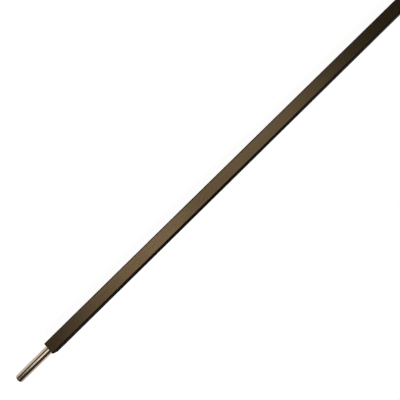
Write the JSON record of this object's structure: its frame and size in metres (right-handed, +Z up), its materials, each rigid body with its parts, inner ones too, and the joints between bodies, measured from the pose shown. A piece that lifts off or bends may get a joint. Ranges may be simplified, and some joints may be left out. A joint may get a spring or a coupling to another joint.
{
  "type": "rhythmic ribbon wand",
  "caption": "Slim straight wand: a square dark bronze metal stick with a plain bright round pin at its tip and a grooved rubber grip, closed by a cap, at its butt.",
  "frame": {"origin": "the middle of the wand's whole length, centred across it, on the surface that the wand lies on", "axes": "+X along the wand from butt to tip, +Z up"},
  "size_m": [0.5946, 0.0142, 0.0141],
  "materials": {
    "stick": "dark bronze anodised, satin",
    "pin": "bright nickel-plated steel, warm white",
    "insert": "plain machined",
    "grip": "matt black, finely textured",
    "cap": "black, fine moulded texture"
  },
  "bodies": {
    "root": {"stick_tube": "stick", "tip_pin": "pin", "tip_insert": "insert", "grip_sleeve": "grip", "butt_cap": "cap"}
  },
  "joints": []
}
